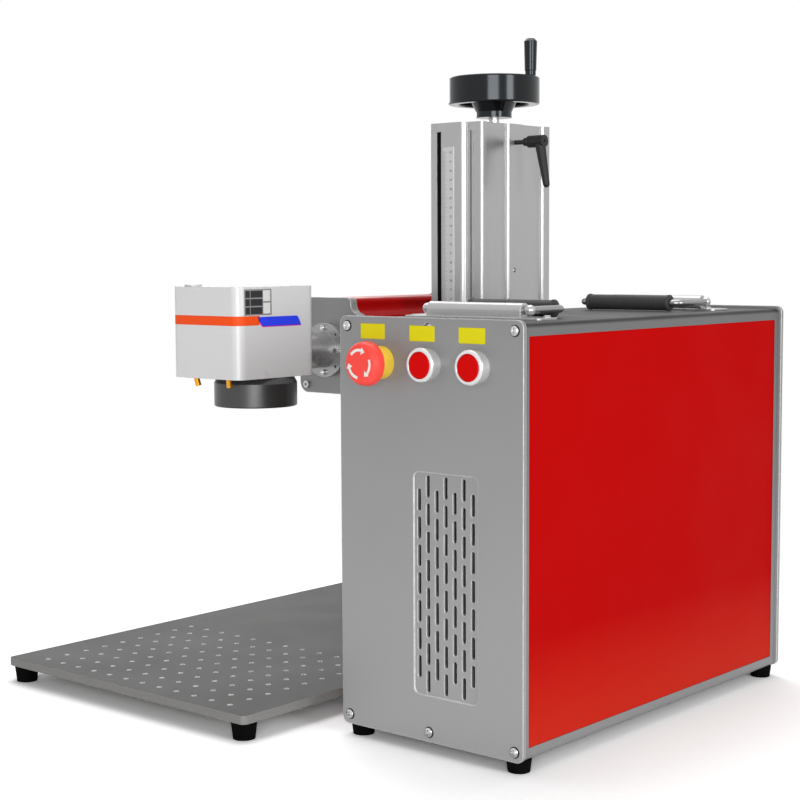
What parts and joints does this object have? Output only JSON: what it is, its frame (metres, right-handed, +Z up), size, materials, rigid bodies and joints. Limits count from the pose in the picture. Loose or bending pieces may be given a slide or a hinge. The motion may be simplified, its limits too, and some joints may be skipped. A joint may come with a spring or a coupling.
{
  "type": "laser_marking_machine",
  "caption": "Desktop fibre laser marking machine: cabinet with switches and carrying handles, work table, handwheel lifting column, laser arm and scan head over a drilled table.",
  "frame": {"origin": "on the floor, at the middle of the outline seen from above", "axes": "+Z up, +Y from the front panel to the rear, +X from the work table to the cabinet"},
  "size_m": [0.609, 0.565, 0.6803],
  "materials": {
    "panel_grey": "satin",
    "rail_alloy": "satin",
    "machine_red": "gloss",
    "bright_alloy": "satin",
    "dark_alloy": "satin",
    "steel": "satin",
    "chrome": "gloss",
    "black_rubber": "matte",
    "black_plastic": "matte",
    "black_gloss": "gloss",
    "red_plastic": "gloss",
    "yellow_plastic": "gloss",
    "black_metal": "satin",
    "brass": "satin",
    "glass": "gloss",
    "mirror": "gloss",
    "card": "matte"
  },
  "bodies": {
    "machine": {"front_panel": "panel_grey", "rear_panel": "panel_grey", "rails": "rail_alloy", "corner_posts": "rail_alloy", "side_panels": "machine_red", "top_cover": "panel_grey", "bottom_plate": "panel_grey", "panel_screws": "steel", "cabinet_feet": "black_rubber", "estop_collar": "yellow_plastic", "button_bezels": "chrome", "handle_plates": "chrome", "equipment_shelf": "steel", "laser_source": "black_metal", "power_supply": "steel", "control_card": "card", "fan_frame": "black_plastic", "power_inlet": "black_plastic", "cable_gland": "black_plastic", "table_plate": "bright_alloy", "table_feet": "black_rubber", "tie_bars": "steel", "column_base": "rail_alloy", "column_body": "bright_alloy", "column_cover": "bright_alloy", "column_cap": "dark_alloy", "ruler": "steel", "guide_rods": "chrome"},
    "carriage": {"carriage_block": "dark_alloy", "carriage_plate": "dark_alloy", "screw_nut": "brass", "arm_housing": "machine_red", "arm_front_plate": "dark_alloy", "arm_rear_plate": "dark_alloy", "beam_tube": "dark_alloy", "arm_screws": "chrome", "collimator": "black_metal", "head_housing": "bright_alloy", "head_base": "dark_alloy", "scan_motors": "black_metal", "lens_barrel": "black_metal", "lens_glass": "glass", "pointers": "brass"},
    "wheel": {"lead_screw": "steel", "handwheel": "black_gloss"},
    "wheel_grip": {"wheel_grip": "black_gloss"},
    "estop_stem": {"estop_stem": "black_plastic"},
    "estop_head": {"estop_head": "red_plastic"},
    "button_middle": {"button_cap_middle": "red_plastic"},
    "button_right": {"button_cap_right": "red_plastic"},
    "front_handle": {"front_bail": "chrome", "front_grip": "black_rubber"},
    "rear_handle": {"rear_bail": "chrome", "rear_grip": "black_rubber"},
    "fan_rotor": {"fan_rotor": "black_plastic"},
    "power_rocker": {"power_rocker": "red_plastic"},
    "clamp_screw": {"clamp_screw": "steel"},
    "clamp_lever": {"clamp_lever": "black_metal"},
    "mirror_x": {"mirror_x": "mirror"},
    "mirror_y": {"mirror_y": "mirror"}
  },
  "joints": [
    {"name": "handwheel_turn", "type": "hinge", "parent": "machine", "child": "wheel", "pos_m": [-0.0195, 0.182, 0.578], "axis": [0, 0, 1], "range_deg": [-12240.5, 10800.5]},
    {"name": "carriage_lift", "type": "slide", "parent": "machine", "child": "carriage", "axis": [0, 0, 1], "range_m": [-0.15, 0.17]},
    {"name": "wheel_grip_spin", "type": "hinge", "parent": "wheel", "child": "wheel_grip", "pos_m": [0.02467, 0.19059, 0.64], "axis": [0, 0, 1], "continuous": true},
    {"name": "estop_press", "type": "slide", "parent": "machine", "child": "estop_stem", "axis": [0, 1, 0], "range_m": [0, 0.0035]},
    {"name": "estop_twist", "type": "hinge", "parent": "estop_stem", "child": "estop_head", "pos_m": [0.1465, -0.2185, 0.348], "axis": [0, 1, 0], "range_deg": [0, 45], "stiffness_Nm_per_rad": 0.05},
    {"name": "button_middle_press", "type": "slide", "parent": "machine", "child": "button_middle", "axis": [0, 1, 0], "range_m": [0, 0.003], "stiffness_N_per_m": 600, "springref_m": -0.002},
    {"name": "button_right_press", "type": "slide", "parent": "machine", "child": "button_right", "axis": [0, 1, 0], "range_m": [0, 0.003], "stiffness_N_per_m": 600, "springref_m": -0.002},
    {"name": "front_handle_fold", "type": "hinge", "parent": "machine", "child": "front_handle", "pos_m": [0.2005, -0.129, 0.3945], "axis": [1, 0, 0], "range_deg": [0, 92]},
    {"name": "rear_handle_fold", "type": "hinge", "parent": "machine", "child": "rear_handle", "pos_m": [0.2005, 0.174, 0.3945], "axis": [-1, 0, 0], "range_deg": [0, 92]},
    {"name": "fan_spin", "type": "hinge", "parent": "machine", "child": "fan_rotor", "pos_m": [0.2005, 0.2355, 0.309], "axis": [0, 1, 0], "continuous": true},
    {"name": "power_switch", "type": "hinge", "parent": "machine", "child": "power_rocker", "pos_m": [0.1702, 0.2535, 0.061], "axis": [1, 0, 0], "range_deg": [-20, 0]},
    {"name": "clamp_turn", "type": "hinge", "parent": "machine", "child": "clamp_screw", "pos_m": [0.0105, 0.182, 0.567], "axis": [1, 0, 0], "range_deg": [-60, 60]},
    {"name": "clamp_lever_pull", "type": "slide", "parent": "clamp_screw", "child": "clamp_lever", "axis": [1, 0, 0], "range_m": [0, 0.004], "stiffness_N_per_m": 400, "springref_m": -0.002},
    {"name": "mirror_x_turn", "type": "hinge", "parent": "carriage", "child": "mirror_x", "pos_m": [-0.1385, -0.0915, 0.351], "axis": [0, 0, 1], "range_deg": [-12, 12]},
    {"name": "mirror_y_turn", "type": "hinge", "parent": "carriage", "child": "mirror_y", "pos_m": [-0.1245, -0.1045, 0.339], "axis": [0, 1, 0], "range_deg": [-12, 12]}
  ],
  "couplings": [
    {"joint": "handwheel_turn", "follows": "carriage_lift", "rad_per_m": -1256.6}
  ]
}
